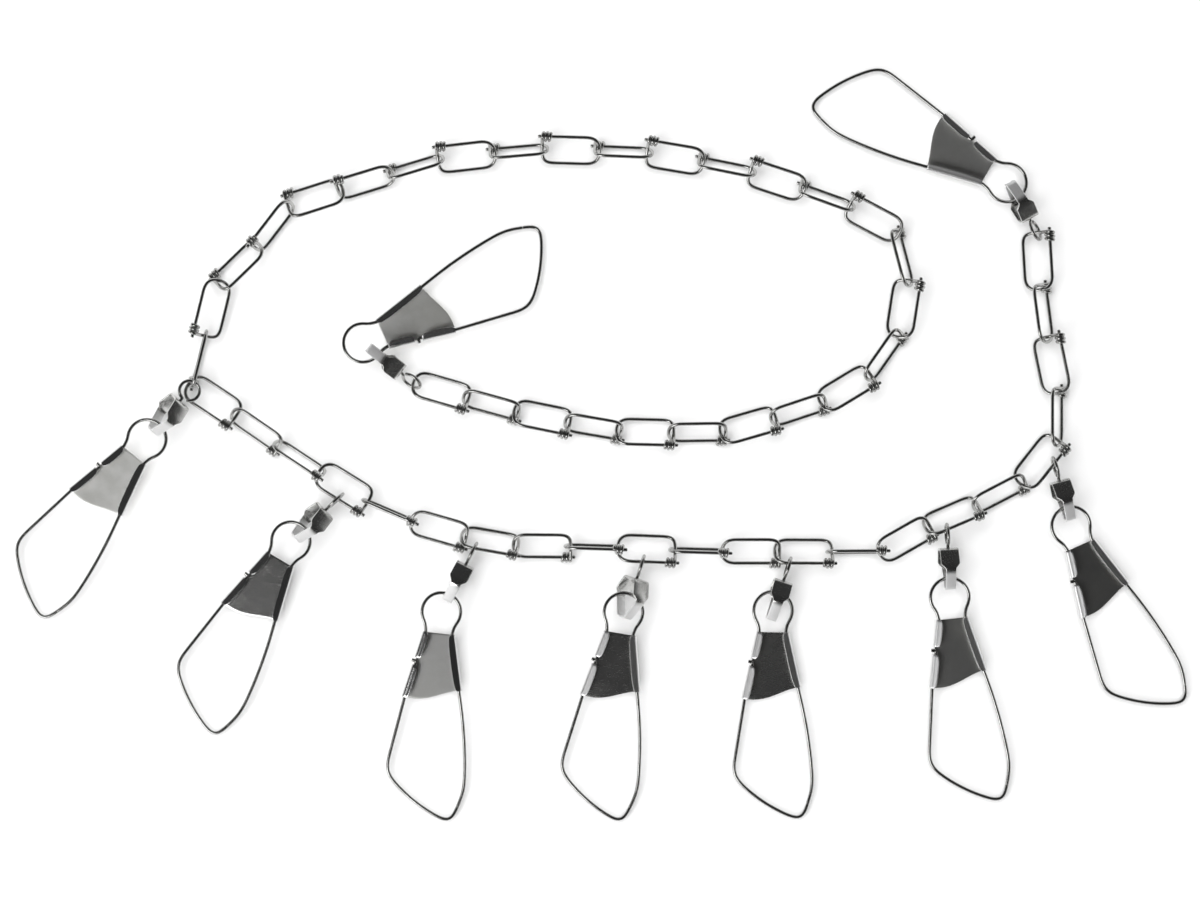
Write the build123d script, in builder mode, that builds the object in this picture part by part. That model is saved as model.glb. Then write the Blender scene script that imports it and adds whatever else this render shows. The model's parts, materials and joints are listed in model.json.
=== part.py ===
"""A chain fish stringer laid out flat: knotted wire links and nine safety-pin snaps on box swivels."""

import os
from math import asin, cos, pi, radians, sin, sqrt, tan

from build123d import *

# Chain link: one wire, a plain round end, and an end bar knotted round the link's own side
link_wire = 1.6
link_width = 14.0
link_length = 27.3
link_corner = 2.4
link_tail = 1.3
knot_gap = 0.15
knot_pitch = 2.1
hook_gap = 0.3
link_hang = 1.4

# Swivel eye: a ring on a headed shank
eye_wire = 1.5
eye_ring_diameter = 10.5
eye_neck = 0.8
eye_head_diameter = 4.2
eye_head_thickness = 1.4
ring_ride = 0.9

# Swivel box: a strip bent to a closed six-sided loop, wide at the shank and narrow at the snap
box_strip = 0.9
box_length = 18.6
box_height = 17.0
box_shank_wall = 8.4
box_tongue_wall = 5.4
box_width = 8.4
box_tongue_width = 4.6
swivel_gap = 0.3
seat_rise = 0.6

# Snap: one wire bent to an eye and two legs, held by a folded clasp plate
snap_wire_size = 1.6
snap_eye_diameter = 19.0
snap_neck = 5.8
snap_neck_angle = 50
snap_length = 104.5
snap_far_corner = 15.0
snap_bulge = (79.0, 19.4)
snap_catch_corner = (74.2, -16.8)
snap_leg_bow = 1.2
snap_slant_bow = 2.6
snap_bend = 4.4
plate_sheet = 0.5
plate_top = 9.8
plate_fixed_end = (34.4, 11.8)
plate_catch_end = (39.9, -11.9)
plate_bow = 1.7
tab_length = 12.0
tab_notch = 3.6
fold_gap = 0.25
gate_gap = 0.35
gate_tip = 2.2

# Round bends are drawn as even flats
wire_sides = 5
head_sides = 8
plain_end_flats = 6
knot_flats = 6
eye_ring_flats = 8
snap_eye_flats = 8

# The chain's route over the table, chosen by hand for links of this pitch, from the first snap to the last
route_pitch = 23.589
route_points = [
    (-81, 29), (-36, 16), (11, 7), (59, 7), (104, 22), (122, 32), (136, 53), (139, 74), (135, 97),
    (116, 107), (71, 123), (26, 132), (-23, 134), (-69, 130), (-112, 117), (-140, 108), (-151, 92),
    (-170, 74), (-182, 26), (-167, 18), (-132, -6), (-95, -29), (-47, -43), (0, -44), (50, -46),
    (99, -46), (124, -47), (140, -38), (181, -20), (198, -9), (205, 6), (205, 24), (198, 61), (196, 90),
]

# How far each link leans as it lies, in degrees, left side up if positive, from the first snap on
link_lean = [
    -25, 52, -25, 52, -25, 52, -25, 52, -25, 60, -25, 65, -25, 65, -25, 65, -25, 65, -25, 65, -25, 65,
    -50, 24, -66, 40, -30, 80, -10, 50, -70, -12, -88, 25, -45, 35, -85, -22, -85, 30, -35, -95, 25,
    -42, 50, -25, 62, -22, 55, -22,
]

# The last link of each run of links
run_ends = [3, 7, 10, 13, 17, 21, 24, 29, 32, 36, 38, 43, 46, 48, 50]

# Each snap: its link, the spot and place on it, the box's heading and lean, its slack, the snap's heading
snap_places = [
    (1, "plain end", 0.0, 141.9, 90, 3.6, 24.8),
    (28, "end bar", 3.0, -132.2, 58, 2.3, -129.5),
    (32, "side", 7.5, -137.0, 65, 4.0, -120.6),
    (35, "side", 0.5, -117.4, 90, 0.8, -96.8),
    (38, "side", 5.0, -108.0, 55, 8.6, -99.4),
    (41, "side", 0.2, -108.0, 90, 10.5, -91.0),
    (44, "side", 2.2, -87.0, 90, 2.7, -84.0),
    (46, "side", 10.0, -74.0, 90, 3.7, -65.4),
    (50, "end bar", 0.0, 119.6, 90, 6.6, 149.7),
]

# Sizes that follow
up = Vector(0, 0, 1)
link_radius = (link_width - link_wire) / 2
bar_x = link_length - link_wire - link_radius
knot_radius = (link_wire + knot_gap) / cos(pi / knot_flats)
plain_end_inside = link_radius * cos(pi / 2 / plain_end_flats) - link_wire / 2
link_pitch = bar_x + plain_end_inside - link_wire / 2 - hook_gap
eye_ring_radius = (eye_ring_diameter - eye_wire) / 2
eye_ring_inside = eye_ring_radius * cos(pi / eye_ring_flats)
eye_grip = (eye_wire + link_wire) / 2 + hook_gap
ring_to_box = eye_ring_radius + eye_wire / 2 + eye_neck + box_length / 2
shank_end = ring_to_box - box_length / 2 + box_strip + swivel_gap
snap_eye_radius = (snap_eye_diameter - snap_wire_size) / 2
snap_eye_inside = snap_eye_radius * cos((pi - radians(snap_neck_angle)) / snap_eye_flats)
snap_far = snap_length - snap_eye_diameter / 2 - snap_wire_size / 2
snap_grip = snap_wire_size / 2 + swivel_gap
tongue_inside = box_length / 2 - box_strip - snap_grip
fold_inside = snap_wire_size / 2 + fold_gap
fold_outside = fold_inside + plate_sheet


def level(heading):
    """The level unit vector at a heading in degrees."""
    return Vector(cos(radians(heading)), sin(radians(heading)), 0)


def bent_wire(points, size, side):
    """An even wire of flat faces, bent through the points and mitred at each bend."""
    points = [Vector(*point) for point in points]
    runs = [(after - before).normalized() for before, after in zip(points, points[1:])]
    mitres = [(before + after).normalized() for before, after in zip(runs, runs[1:])]
    start = Plane(origin=points[0], x_dir=side, z_dir=runs[0])
    turns = [2 * pi * i / wire_sides for i in range(wire_sides)]
    corners = [start.from_local_coords(Vector(cos(turn), sin(turn)) * (size / 2)) for turn in turns]
    rings = []
    for point, run, cut in zip(points, [runs[0], *runs], [runs[0], *mitres, runs[-1]]):
        corners = [corner + run * ((point - corner).dot(cut) / run.dot(cut)) for corner in corners]
        rings.append(corners)
    flats = [rings[0], rings[-1]]
    for ring, following in zip(rings, rings[1:]):
        flats += [[ring[i - 1], ring[i], following[i], following[i - 1]] for i in range(wire_sides)]
    return Solid(Shell([Face(Wire.make_polygon(flat)) for flat in flats]))


def eased(points, cut):
    """The points with each inner corner of the path cut back to a short flat."""
    path = [points[0]]
    for before, corner, after in zip(points, points[1:], points[2:]):
        path += [corner + (before - corner).normalized() * cut, corner + (after - corner).normalized() * cut]
    return [*path, points[-1]]


# One link, its plain end's centre at the origin and its end bar towards +X
plain_end = [
    (-link_radius * sin(pi * i / plain_end_flats), -link_radius * cos(pi * i / plain_end_flats), 0)
    for i in range(plain_end_flats + 1)
]
knot_turn = [
    (
        bar_x - knot_pitch * i / knot_flats,
        -link_radius - knot_radius * sin(2 * pi * i / knot_flats),
        knot_radius * cos(2 * pi * i / knot_flats),
    )
    for i in range(knot_flats + 1)
]
link_path = [
    (bar_x + link_wire / 2 + link_tail, -link_radius, 0),
    *plain_end,
    (bar_x - link_corner, link_radius, 0),
    (bar_x, link_radius - link_corner, 0),
    (bar_x, 2 * knot_radius - link_radius, 0),
    *knot_turn,
]
with BuildPart() as link:
    add(bent_wire(link_path, link_wire, up))

# One swivel eye, its ring's centre at the origin and its shank towards +X
ring_sweep = 2 * pi - 2 * asin((eye_wire + hook_gap) / 2 / eye_ring_radius)
ring_turns = [ring_sweep * i / eye_ring_flats for i in range(eye_ring_flats + 1)]
eye_path = [(shank_end + eye_head_thickness / 2, 0, 0)]
eye_path += [(eye_ring_radius * cos(turn), 0, eye_ring_radius * sin(turn)) for turn in ring_turns]
with BuildPart() as swivel_eye:
    add(bent_wire(eye_path, eye_wire, Vector(0, 1, 0)))
    with BuildSketch(Plane(origin=(shank_end, 0, 0), z_dir=(1, 0, 0))):
        RegularPolygon(eye_head_diameter / 2, head_sides)
    extrude(amount=eye_head_thickness)

# One swivel box, its middle at the origin, the shank's wall towards -X and the narrow tongue towards +X
with BuildPart() as swivel_box:
    with BuildSketch(Plane.XZ):
        with BuildLine():
            Polyline(
                (-box_length / 2, -box_shank_wall / 2),
                (0, -box_height / 2),
                (box_length / 2, -box_tongue_wall / 2),
                (box_length / 2, box_tongue_wall / 2),
                (0, box_height / 2),
                (-box_length / 2, box_shank_wall / 2),
                close=True,
            )
        make_face()
        offset(amount=-box_strip, mode=Mode.SUBTRACT)
    extrude(amount=box_width / 2, both=True)
    with BuildSketch(Plane.XY):
        with BuildLine():
            Polyline(
                (-box_length / 2, -box_width / 2),
                (0, -box_width / 2),
                (box_length / 4, -box_tongue_width / 2),
                (box_length / 2, -box_tongue_width / 2),
                (box_length / 2, box_tongue_width / 2),
                (box_length / 4, box_tongue_width / 2),
                (0, box_width / 2),
                (-box_length / 2, box_width / 2),
                close=True,
            )
        make_face()
    extrude(amount=box_height / 2, both=True, mode=Mode.INTERSECT)
    with BuildSketch(Plane(origin=(-box_length / 2, 0, 0), z_dir=(1, 0, 0))):
        RegularPolygon(eye_wire / 2 + swivel_gap, head_sides, major_radius=False)
    extrude(amount=box_strip, mode=Mode.SUBTRACT)

# One snap, its eye's centre at the origin and its far end towards +X, its catch on the -Y side
neck_angle = radians(snap_neck_angle)
eye_turn = 2 * (pi - neck_angle)
snap_eye = [
    (
        snap_eye_radius * cos(neck_angle + eye_turn * i / snap_eye_flats),
        -snap_eye_radius * sin(neck_angle + eye_turn * i / snap_eye_flats),
        0,
    )
    for i in range(snap_eye_flats + 1)
]
catch_start, catch_end = Vector(plate_top, -snap_neck), Vector(*plate_catch_end)
fixed_start, fixed_end = Vector(plate_top, snap_neck), Vector(*plate_fixed_end)
catch_line = (catch_end - catch_start).normalized()
fixed_line = (fixed_end - fixed_start).normalized()
catch_out = Vector(catch_line.Y, -catch_line.X)
fixed_out = Vector(-fixed_line.Y, fixed_line.X)
far_corner = Vector(snap_far, snap_far_corner)
bulge = Vector(*snap_bulge)
leg_middle = (fixed_end + bulge) / 2 + fixed_out * snap_leg_bow
elbow = (bulge + far_corner) / 2
gate_start = elbow + (far_corner - elbow).normalized() * gate_gap
snap_path = [
    catch_start + catch_line * (tab_length - fold_outside),
    catch_start,
    *snap_eye,
    fixed_start,
    fixed_end,
    *eased([leg_middle, bulge, elbow], snap_bend),
]
with BuildPart() as snap_wire:
    add(bent_wire(snap_path, snap_wire_size, up))

# The free end of the same wire: the slanting end, the catch leg and its hooked tip
catch_corner = Vector(*snap_catch_corner)
slant_line = (catch_corner - far_corner).normalized()
slant_middle = (far_corner + catch_corner) / 2 + Vector(-slant_line.Y, slant_line.X) * snap_slant_bow
tip = catch_start + catch_line * (tab_length + tab_notch / 2)
gate_path = [
    *eased([gate_start, far_corner, slant_middle], snap_bend),
    *eased([slant_middle, catch_corner, catch_end], snap_bend)[1:],
    tip + catch_line * gate_gap,
    tip + catch_out * gate_tip,
]
with BuildPart() as snap_gate:
    add(bent_wire(gate_path, snap_wire_size, up))

# One clasp plate: a sheet under both legs, a channel folded over the fixed leg and two tabs on the catch side
fold_profile = [
    (fold_outside, -fold_outside),
    (fold_outside, fold_inside),
    (fold_inside, fold_outside),
    (-fold_inside / 2, fold_outside),
    (-fold_inside / 2, fold_inside),
    (fold_inside - plate_sheet / 2, fold_inside),
    (fold_inside, fold_inside - plate_sheet / 2),
    (fold_inside, -fold_outside),
]
second_tab = catch_start + catch_line * (tab_length + tab_notch)
folds = [
    (fixed_start, fixed_line, fixed_out, (fixed_end - fixed_start).length),
    (catch_start, catch_line, catch_out, tab_length),
    (second_tab, catch_line, catch_out, (catch_end - second_tab).length),
]
with BuildPart() as clasp_plate:
    with BuildSketch(Plane.XY.offset(-fold_outside)):
        with BuildLine():
            top = Line(catch_start + catch_out * fold_outside, fixed_start + fixed_out * fold_outside)
            fixed_edge = Line(top @ 1, fixed_end + fixed_out * fold_outside)
            catch_edge = Line(catch_end + catch_out * fold_outside, top @ 0)
            lower_bow = (fixed_line + catch_line).normalized() * plate_bow
            ThreePointArc(fixed_edge @ 1, (fixed_edge @ 1 + catch_edge @ 0) / 2 + lower_bow, catch_edge @ 0)
        make_face()
    extrude(amount=plate_sheet)
    for start, along, outward, length in folds:
        with BuildSketch(Plane(origin=start, x_dir=outward, z_dir=outward.cross(up))):
            with BuildLine():
                Polyline(*fold_profile, close=True)
            make_face()
        extrude(amount=length if outward.cross(up).dot(along) > 0 else -length)

# The chain as it lies: every link touches the table or hangs in its steeper neighbours
route = Polyline(*[Vector(*point) * (link_pitch / route_pitch) for point in route_points])
table_height = [link_radius * abs(sin(radians(lean))) + link_wire / 2 for lean in link_lean]
link_planes = []
travelled = 0.0
joint = route @ 0
for number, lean in enumerate(link_lean):
    beside = table_height[max(number - 1, 0) : number + 2]
    height = max(table_height[number], max(beside) - link_hang)
    goal = route.position_at(min(travelled + link_length, route.length), position_mode=PositionMode.LENGTH)
    along = (goal - Vector(joint.X, joint.Y)).normalized()
    across = up.cross(along)
    side = across * cos(radians(lean)) + up * sin(radians(lean))
    normal = along.cross(side)
    if number == 0:
        bar_along, rise = normal, 0.0
        joint = Vector(joint.X, joint.Y, height)
    else:
        bar_along, rise = link_planes[-1].y_dir, height - joint.Z
    slant = abs(bar_along.dot(normal))
    reach = plain_end_inside - link_wire / 2 / slant - hook_gap
    crossing = bar_along * (rise * up.dot(normal) / bar_along.dot(normal)) - up * rise
    step = crossing.dot(along) + sqrt(reach**2 - crossing.dot(side) ** 2)
    centre = joint + along * step + up * rise
    link_planes.append(Plane(origin=centre, x_dir=along, z_dir=normal))
    joint = centre + along * bar_x
    travelled += step + bar_x

# Each snap with its swivel, from the link that carries it
swivels = []
for number, spot, place, box_heading, box_lean, slack, snap_heading in snap_places:
    plane = link_planes[number - 1]
    if spot == "side":
        hook, wire_along = plane.from_local_coords(Vector(place, -link_radius)), plane.x_dir
    elif spot == "end bar":
        hook, wire_along = plane.from_local_coords(Vector(bar_x, place)), plane.y_dir
    else:
        hook, wire_along = plane.from_local_coords(Vector(-link_radius, place)), plane.y_dir
    lean = radians(box_lean)
    box_centre_height = box_height / 2 * sin(lean) + box_width / 2 * cos(lean)
    outward = level(box_heading)
    play = eye_ring_inside - eye_grip / sqrt(1 - wire_along.dot(outward) ** 2)
    most_lift = play * ring_ride
    lift = max(-most_lift, min(most_lift, box_centre_height - hook.Z))
    ring_centre = hook + outward * sqrt(play**2 - lift**2) + up * lift
    climb = asin((box_centre_height - ring_centre.Z) / ring_to_box)
    axis = outward * cos(climb) + up * sin(climb)
    ring_normal = (wire_along - axis * wire_along.dot(axis)).normalized()
    box_up = (up - axis * axis.Z).normalized()
    box_across = box_up.cross(axis)
    loop_up = box_up * sin(lean) + box_across * cos(lean)
    box_centre = ring_centre + axis * ring_to_box
    station = tongue_inside - slack
    slope = (box_height - (box_tongue_wall if station > 0 else box_shank_wall)) / box_length
    wall_room = box_height / 2 - slope * abs(station) - box_width / 2 / tan(lean)
    drop = wall_room - (box_strip + (snap_grip + seat_rise) / sin(lean)) * sqrt(1 + slope**2)
    seat = box_centre + axis * station - loop_up * drop
    turn = radians(box_heading + 180 - snap_heading)
    dip = asin((seat.Z - snap_wire_size / 2) / (snap_far - snap_eye_inside * cos(turn)))
    snap_along = level(snap_heading) * cos(dip) - up * sin(dip)
    snap_across = level(snap_heading + 90)
    eye_centre = seat - (snap_along * cos(turn) + snap_across * sin(turn)) * snap_eye_inside
    swivels.append(
        {
            "hook": hook,
            "wire_along": wire_along,
            "axis": axis,
            "seat": seat,
            "swing": box_across,
            "eye": Plane(origin=ring_centre, x_dir=axis, z_dir=axis.cross(ring_normal)),
            "box": Plane(origin=box_centre, x_dir=axis, z_dir=loop_up),
            "snap": Plane(origin=eye_centre, x_dir=snap_along, z_dir=snap_along.cross(snap_across)),
        }
    )

# Every node in its place
pieces = {}
first = 1
for run, last in enumerate(run_ends, 1):
    with BuildPart() as chain_run:
        with Locations(*link_planes[first - 1 : last]):
            add(link.part)
    pieces[f"chain_run_{run:02d}"] = chain_run.part
    first = last + 1
for number, swivel in enumerate(swivels, 1):
    for name, shape, plane in [
        ("swivel_eye", swivel_eye, swivel["eye"]),
        ("swivel_box", swivel_box, swivel["box"]),
        ("snap_wire", snap_wire, swivel["snap"]),
        ("snap_gate", snap_gate, swivel["snap"]),
        ("clasp_plate", clasp_plate, swivel["snap"]),
    ]:
        with BuildPart() as placed:
            with Locations(plane):
                add(shape.part)
        pieces[f"{name}_{number}"] = placed.part

# The origin is under the middle of the layout, on the table
boxes = [piece.bounding_box() for piece in pieces.values()]
origin = Vector(
    (min(box.min.X for box in boxes) + max(box.max.X for box in boxes)) / 2,
    (min(box.min.Y for box in boxes) + max(box.max.Y for box in boxes)) / 2,
    min(box.min.Z for box in boxes),
)
os.makedirs("parts", exist_ok=True)
for name, piece in pieces.items():
    piece.move(Location(-origin))
    piece.label = name
    export_step(piece, f"parts/{name}.step")
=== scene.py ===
"""Dresses the chain fish stringer: round plated wire, bent strip swivels and folded clasp plates."""

import json
import logging
from collections.abc import Callable
from dataclasses import dataclass
from enum import Enum
from itertools import accumulate
from math import asin, cos, pi, radians, sin, sqrt, tan

import bpy
import numpy as np
from mathutils import Matrix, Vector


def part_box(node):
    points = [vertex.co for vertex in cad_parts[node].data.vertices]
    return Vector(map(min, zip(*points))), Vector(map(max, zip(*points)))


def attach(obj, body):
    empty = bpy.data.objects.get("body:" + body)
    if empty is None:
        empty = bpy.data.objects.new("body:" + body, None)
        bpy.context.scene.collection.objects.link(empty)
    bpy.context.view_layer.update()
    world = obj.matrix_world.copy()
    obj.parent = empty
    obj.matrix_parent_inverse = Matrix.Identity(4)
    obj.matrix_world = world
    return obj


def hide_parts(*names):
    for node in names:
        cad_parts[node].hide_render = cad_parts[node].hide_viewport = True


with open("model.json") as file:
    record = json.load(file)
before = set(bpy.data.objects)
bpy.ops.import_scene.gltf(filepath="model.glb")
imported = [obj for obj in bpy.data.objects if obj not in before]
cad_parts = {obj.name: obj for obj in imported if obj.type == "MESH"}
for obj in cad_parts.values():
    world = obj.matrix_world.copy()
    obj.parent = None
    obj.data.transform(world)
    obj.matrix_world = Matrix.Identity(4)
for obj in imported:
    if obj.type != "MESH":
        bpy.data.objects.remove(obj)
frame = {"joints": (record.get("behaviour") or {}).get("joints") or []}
log = logging.getLogger("stringer")

Colour = tuple[float, float, float, float]
Socket = bpy.types.NodeSocket

MM = 0.001
UP = np.array([0.0, 0.0, 1.0])
SIDEWAYS = np.array([0.0, 1.0, 0.0])
FIRST_JOINT = "eye_swing_1"
# The mesh attribute that marks places which are rougher and take a painted light tone: a painted highlight or
# painted shade
RUBBED_AND_PAINTED_LIGHT = "rubbed_and_painted_light"

# The fewest steps in a bent line
LEAST_STEPS = 8

# A wire's rounded end: where its circles stand, as shares of the nose, the share of the radius that stays
# flat, and how many points of the line the nose takes the place of
NOSE_SHARES = np.array([0.0, 0.08, 0.3, 0.6])
NOSE_FLAT = 0.45
NOSE_SKIP = 2

# Angles in degrees past which an edge is sharp
WIRE_SHARP = 50.0
FITTING_SHARP = 40.0
PLAIN_SHARP = 30.0
NEVER_SHARP = 180.0

# The colour sockets of a mix node
MIX_FIRST = 6
MIX_SECOND = 7
MIX_RESULT = 2

# A plate's tone, which rises with how satin it is up to a limit as painted light and shade for how each plate
# mirrors the lamp, and its duller and scuffed places
PLATE_TONE = 0.5
PLATE_PAINTED_LIGHT_RISE = 0.7
PLATE_TONE_LIMIT = 0.98
PLATE_DULL = 0.88
PLATE_SCUFF = 0.1


def unit(vector: np.ndarray) -> np.ndarray:
    """The vector, or each row of an array of them, at length one."""
    return vector / np.linalg.norm(vector, axis=-1, keepdims=True)


def level(heading: float) -> np.ndarray:
    """The level unit vector at a heading in degrees."""
    return np.array([cos(radians(heading)), sin(radians(heading)), 0.0])


def level_point(x: float, y: float) -> np.ndarray:
    """A point on a piece's own level plane."""
    return np.array([x, y, 0.0])


def soft_step(share: np.ndarray) -> np.ndarray:
    """A share held to 0 and 1, with a soft start and end: share^2 (3 - 2 share)."""
    held = np.clip(share, 0, 1)
    return held**2 * (3 - 2 * held)


def grey(tone: float, blue: float = 1.0) -> Colour:
    """A grey of a tone, with its blue lowered to a share for a warmer one."""
    return (tone, tone, tone * blue, 1.0)


class Spot(Enum):
    """Where on its link a swivel's ring hangs."""

    SIDE = "side"
    END_BAR = "end bar"
    PLAIN_END = "plain end"


class FinishKind(Enum):
    """The plated finishes of the stringer, named as the record's material slots."""

    LINK = "link_wire"
    EYE = "swivel_wire"
    STRIP = "swivel_strip"
    SNAP = "snap_wire"
    SHEET = "clasp_sheet"

    @property
    def sharp(self) -> float:
        """The angle in degrees past which an edge of such a piece is sharp."""
        return WIRE_SHARP if self in (FinishKind.LINK, FinishKind.SNAP) else FITTING_SHARP


@dataclass(frozen=True)
class Frame:
    """A place in the layout: an origin and three axes as rows, in millimetres."""

    origin: np.ndarray
    axes: np.ndarray

    @classmethod
    def facing(cls, origin: np.ndarray, along: np.ndarray, normal: np.ndarray) -> "Frame":
        """The frame with x along one direction and z along another.

        Args:
            origin: where the frame sits.
            along: the unit x direction.
            normal: the unit z direction, square to x.

        Returns:
            The frame.
        """
        return cls(origin, np.array([along, np.cross(normal, along), normal]))

    def at(self, points: np.ndarray) -> np.ndarray:
        """Local points, as rows, in the layout: origin + points times axes."""
        return self.origin + np.asarray(points, float) @ self.axes


@dataclass
class Shape:
    """A surface: vertices as rows, in millimetres, faces as index tuples, and each vertex's share of the
    places that are rougher and take a painted light tone.
    """

    vertices: np.ndarray
    faces: list[tuple[int, ...]]
    rubbed_and_painted_light: np.ndarray | None = None

    def placed(self, place: Frame) -> "Shape":
        """The same surface carried to a frame."""
        return Shape(place.at(self.vertices), self.faces, self.rubbed_and_painted_light)

    @staticmethod
    def joined(shapes: list["Shape"]) -> "Shape":
        """Several surfaces without a painted light mask as one, with their face indices moved on.

        Args:
            shapes: the surfaces.

        Returns:
            One surface.
        """
        starts = np.cumsum([0, *[len(shape.vertices) for shape in shapes]])
        faces = [
            tuple(int(start) + corner for corner in face)
            for start, shape in zip(starts, shapes)
            for face in shape.faces
        ]
        return Shape(np.vstack([shape.vertices for shape in shapes]), faces)


def grid_faces(rows: int, columns: int, loop_rows: bool, loop_columns: bool) -> np.ndarray:
    """Four-cornered faces of a grid of rows x columns vertices, numbered row by row.

    Args:
        rows: the number of rows.
        columns: the number of columns.
        loop_rows: whether the last row joins the first.
        loop_columns: whether the last column joins the first.

    Returns:
        An array of faces, four vertex numbers each.
    """
    row = np.arange(rows if loop_rows else rows - 1)[:, None]
    column = np.arange(columns if loop_columns else columns - 1)[None, :]
    here, below = row * columns, (row + 1) % rows * columns
    right = (column + 1) % columns
    return np.stack([here + column, here + right, below + right, below + column], -1).reshape(-1, 4)


def face_list(faces: np.ndarray) -> list[tuple[int, ...]]:
    """The rows of an array of faces as tuples."""
    return [tuple(face) for face in faces.tolist()]


def tube_faces(rings: int, sides: int) -> list[tuple[int, ...]]:
    """The faces of a closed tube: a grid joined round, and one face over each end.

    Args:
        rings: the number of rings of vertices.
        sides: the number of vertices in a ring.

    Returns:
        The faces.
    """
    last = (rings - 1) * sides
    ends = [tuple(range(sides - 1, -1, -1)), tuple(range(last, last + sides))]
    return face_list(grid_faces(rings, sides, False, True)) + ends


def circle(sides: int) -> np.ndarray:
    """The angles of points spread evenly round a circle."""
    return 2 * pi * np.arange(sides) / sides


def distances(points: np.ndarray) -> np.ndarray:
    """How far along a line each of its points is."""
    return np.concatenate([[0.0], np.cumsum(np.linalg.norm(np.diff(points, axis=0), axis=1))])


def on_line(stations: np.ndarray | float, lengths: np.ndarray, points: np.ndarray) -> np.ndarray:
    """The places at given distances along a line, from its points and how far along they are."""
    return np.stack([np.interp(stations, lengths, points[:, axis]) for axis in range(3)], -1)


def bend_line(points: list, ease: float, spacing: float, closed: bool = False) -> np.ndarray:
    """A bent line: even steps along the runs, averaged over a sliding raised-cosine window.

    The window is as long as ease, so a straight run stays straight and a corner becomes a bend as
    long as the window. An open line is carried on past both ends first, so its ends stay in place.

    Args:
        points: the corners of the line.
        ease: the window's length.
        spacing: the step along the line.
        closed: whether the last point joins the first.

    Returns:
        The line's points as rows.
    """
    corners = np.array([np.asarray(point, float) for point in points])
    if closed:
        corners = np.vstack([corners, corners[:1]])
    lengths = distances(corners)
    count = max(LEAST_STEPS, round(lengths[-1] / spacing))
    line = on_line(np.linspace(0.0, lengths[-1], count + 1), lengths, corners)
    half = max(1, round(ease / 2 / (lengths[-1] / count)))
    weights = np.hanning(2 * half + 3)[1:-1]
    weights /= weights.sum()
    if closed:
        line = line[:-1]
        padded = np.vstack([line[-half:], line, line[:half]])
    else:
        before = line[0] + (line[0] - line[1]) * np.arange(half, 0, -1)[:, None]
        after = line[-1] + (line[-1] - line[-2]) * np.arange(1, half + 1)[:, None]
        padded = np.vstack([before, line, after])
    return np.stack([np.convolve(padded[:, axis], weights, "valid") for axis in range(3)], -1)


def carried_sides(line: np.ndarray, first: np.ndarray) -> tuple[np.ndarray, np.ndarray]:
    """A line's tangents, and a direction square to each of them, carried along it without twist.

    Each side is the one before it, less its share along the new tangent, at length one.

    Args:
        line: the points as rows.
        first: a direction that isn't along the line's start.

    Returns:
        The tangents and the sides, as rows.
    """
    tangents = unit(np.gradient(line, axis=0))

    def carry(side: np.ndarray, tangent: np.ndarray) -> np.ndarray:
        """The side before, made square to the next tangent."""
        return unit(side - tangent * side.dot(tangent))

    sides = np.array(list(accumulate(tangents, carry, initial=np.asarray(first, float))))[1:]
    return tangents, sides


def round_wire(line: np.ndarray, size: float, first: np.ndarray, sides: int, nose: float = 0.5) -> Shape:
    """A round wire: circles carried along a line, with the cut ends rounded over.

    Each circle's radius is size / 2. Within the nose of either end it falls as a quarter ellipse to a
    flat: size / 2 times (flat + (1 - flat) sqrt(1 - (1 - distance / nose)^2)).

    Args:
        line: the wire's middle line.
        size: its diameter.
        first: a direction that isn't along the line's start.
        sides: the number of vertices round it.
        nose: how far from its end a cut is rounded.

    Returns:
        The closed surface.
    """
    tangents, across = carried_sides(line, first)
    keep = slice(NOSE_SKIP, -NOSE_SKIP)

    def with_noses(rows: np.ndarray) -> np.ndarray:
        """The kept rows, with the first and the last repeated over the noses."""
        start, end = (np.repeat(row, len(NOSE_SHARES), 0) for row in (rows[:1], rows[-1:]))
        return np.vstack([start, rows[keep], end])

    starts = line[0] + tangents[0] * (NOSE_SHARES[:, None] * nose)
    ends = line[-1] - tangents[-1] * (NOSE_SHARES[::-1, None] * nose)
    middles = np.vstack([starts, line[keep], ends])
    falls = NOSE_FLAT + (1 - NOSE_FLAT) * np.sqrt(1 - (1 - NOSE_SHARES) ** 2)
    radii = np.concatenate([falls, np.ones(len(line[keep])), falls[::-1]]) * (size / 2)
    side = with_noses(across)
    third = np.cross(with_noses(tangents), side)
    turns = circle(sides)
    rings = side[:, None] * np.cos(turns)[:, None] + third[:, None] * np.sin(turns)[:, None]
    vertices = (middles[:, None] + rings * radii[:, None, None]).reshape(-1, 3)
    return Shape(vertices, tube_faces(len(middles), sides))


def turned(profile: list[tuple[float, float]], sides: int) -> Shape:
    """A turned form about the x axis: each profile point (x, radius) becomes a circle.

    Args:
        profile: the points from one end to the other.
        sides: the number of vertices round it.

    Returns:
        The closed surface.
    """
    points, turns = np.array(profile), circle(sides)
    x, radii = np.repeat(points[:, :1], sides, 1), points[:, 1:]
    vertices = np.stack([x, radii * np.cos(turns), radii * np.sin(turns)], -1).reshape(-1, 3)
    return Shape(vertices, tube_faces(len(points), sides))


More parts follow.
